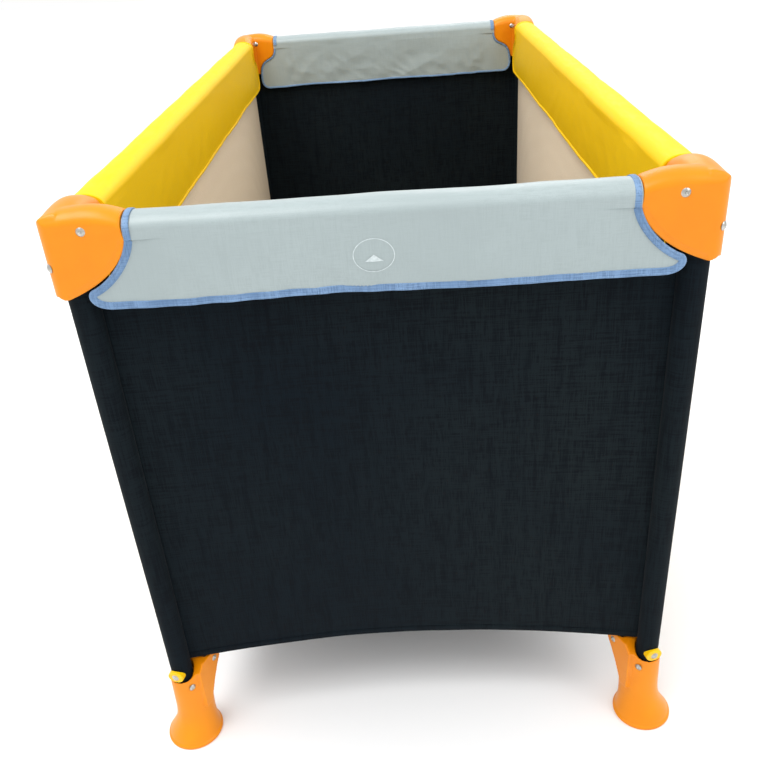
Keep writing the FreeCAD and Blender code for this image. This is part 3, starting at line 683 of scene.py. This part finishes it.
def make_sleeve(corner):
    """The cloth tube round a post, with the ridge of its seam and slack rings near its ends."""
    node = "post_sleeve_" + corner
    low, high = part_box(node)
    centre = (low + high) / 2
    right, rear = CORNERS[corner]
    rings, around = 90, 48
    turn = np.arange(around) * 2 * math.pi / around
    share, angle = np.meshgrid(np.linspace(0, 1, rings), turn, indexing="ij")
    z = low.z + share * (high.z - low.z)
    radius = (13.2 + 1.7 * share) * MM
    seam = math.atan2(-rear, -right * 0.35)
    off = np.angle(np.exp(1j * (angle - seam)))
    radius = radius + np.exp(-(off / 0.12) ** 2) * 1.8 * MM
    slack = np.exp(-share / 0.05) + np.exp(-(1 - share) / 0.05)
    radius += (cloudy(z, angle, 400 + right + 2 * rear, 7, 0.9) * 0.35
               + np.sin(z / (3.1 * MM) + angle) * 0.25 * slack) * MM
    outer = np.stack([centre.x + radius * np.cos(angle), centre.y + radius * np.sin(angle), z], axis=-1)
    radius = np.full_like(radius, 11.6 * MM)
    inner = np.stack([centre.x + radius * np.cos(angle), centre.y + radius * np.sin(angle), z], axis=-1)
    points = np.concatenate([outer.reshape(-1, 3), inner.reshape(-1, 3)])
    faces = grid_faces(rings, around, closed=True) + grid_faces(rings, around, rings * around, closed=True)
    for ring in (0, rings - 1):
        for k in range(around):
            a, b = ring * around + k, ring * around + (k + 1) % around
            faces.append((a, b, b + rings * around, a + rings * around))
    sleeve = make_object("sleeve_cloth_" + corner, points, faces, "dark_fabric", "post_" + corner)
    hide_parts(node)


def make_strap():
    """The webbing loop that lies over the middle of the floor and pulls the hub up."""
    low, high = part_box("pull_strap")
    reach = high.y
    top = high.z
    bend, level, rise = 3 * MM, 10 * MM, 5 * MM
    path = np.concatenate([
        np.linspace((0, -reach, low.z), (0, -reach, top - bend), 4)[:-1],
        bezier((0, -reach, top - bend), (0, -reach, top), (0, -reach + bend, top),
               (0, -reach + level, top), 6),
        bezier((0, -reach + level, top), (0, -reach / 2, top + rise), (0, reach / 2, top + rise),
               (0, reach - level, top), 30)[1:],
        bezier((0, reach - level, top), (0, reach - bend, top), (0, reach, top),
               (0, reach, top - bend), 6)[1:],
        np.linspace((0, reach, top - bend), (0, reach, low.z), 4)[1:]])
    tangent = np.gradient(path, axis=0)
    tangent /= np.linalg.norm(tangent, axis=1, keepdims=True)
    normals = np.cross(np.broadcast_to((1.0, 0, 0), path.shape), tangent)
    parts = [ribbon(path, normals, 12.5 * MM, 1.0 * MM, ring=16)]
    for seam in (-11, 11):
        parts.append(stitches(path + np.array((seam * MM, 0, 0)) + normals * MM, normals))
    strap = make_object("strap_webbing", *joined(parts), "strap_webbing", "hub")
    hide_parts("pull_strap")


# ---------------------------------------------------------------- camera, light and floor

def studio():
    """The camera that matches the photograph, soft light from above, and a pale floor."""
    scene = bpy.context.scene
    scene.view_settings.view_transform = "Standard"
    camera = bpy.data.objects.new("camera", bpy.data.cameras.new("camera"))
    scene.collection.objects.link(camera)
    scene.camera = camera
    camera.data.sensor_width = 36
    camera.data.lens = 39.46
    camera.data.clip_start = 0.05
    yaw, pitch, roll = -0.0411, -0.5153, -0.0784
    ahead = Vector((math.sin(yaw) * math.cos(pitch), math.cos(yaw) * math.cos(pitch), math.sin(pitch)))
    level = Vector((math.cos(yaw), -math.sin(yaw), 0))
    lift = level.cross(ahead)
    right = math.cos(roll) * level + math.sin(roll) * lift
    up = math.cos(roll) * lift - math.sin(roll) * level
    place = Matrix((right, up, -ahead)).transposed().to_4x4()
    place.translation = (0.0223, -1.3723, 0.9563)
    camera.matrix_world = place

    world = bpy.data.worlds.new("studio")
    scene.world = world
    world.use_nodes = True
    world.node_tree.nodes["Background"].inputs["Color"].default_value = (1, 1, 1, 1)
    world.node_tree.nodes["Background"].inputs["Strength"].default_value = 1.0
    sun = bpy.data.objects.new("sun", bpy.data.lights.new("sun", "SUN"))
    sun.data.energy = 0.6
    sun.data.angle = math.radians(25)
    sun.rotation_euler = (math.radians(18), math.radians(-14), 0)
    scene.collection.objects.link(sun)
    for name, size, power, position, target in (
            ("key", 1.6, 34, (-1.2, -0.6, 2.9), (0, 0, 0.5)),
            ("fill", 2.0, 26, (2.2, -1.6, 2.5), (0, 0, 0.5)),
            ("back", 1.8, 16, (0.6, 2.6, 2.4), (0, 0, 0.4))):
        light = bpy.data.objects.new(name, bpy.data.lights.new(name, "AREA"))
        light.data.shape = "DISK"
        light.data.size = size
        light.data.energy = power
        scene.collection.objects.link(light)
        light.location = position
        light.rotation_euler = (Vector(target) - Vector(position)).to_track_quat("-Z", "Y").to_euler()

    mesh = bpy.data.meshes.new("studio_floor")
    reach = 12.0
    mesh.from_pydata([(-reach, -reach, 0), (reach, -reach, 0), (reach, reach, 0), (-reach, reach, 0)],
                     [], [(0, 1, 2, 3)])
    floor = bpy.data.objects.new("studio_floor", mesh)
    scene.collection.objects.link(floor)
    paint = Finish("studio_floor", 0.9, Base_Color=(0.93, 0.93, 0.93, 1))
    mesh.materials.append(paint.material)


studio()
dress_frame()
for corner in CORNERS:
    soften("corner_head_" + corner, "post_" + corner, voxel=1.1 * MM, swell=0.15 * MM, rounds=6)
    soften("foot_" + corner, "post_" + corner, voxel=0.9 * MM, swell=0.4 * MM, rounds=9)
    make_sleeve(corner)
for side in SIDES:
    make_cover(side)
make_walls()
make_floor()
make_strap()
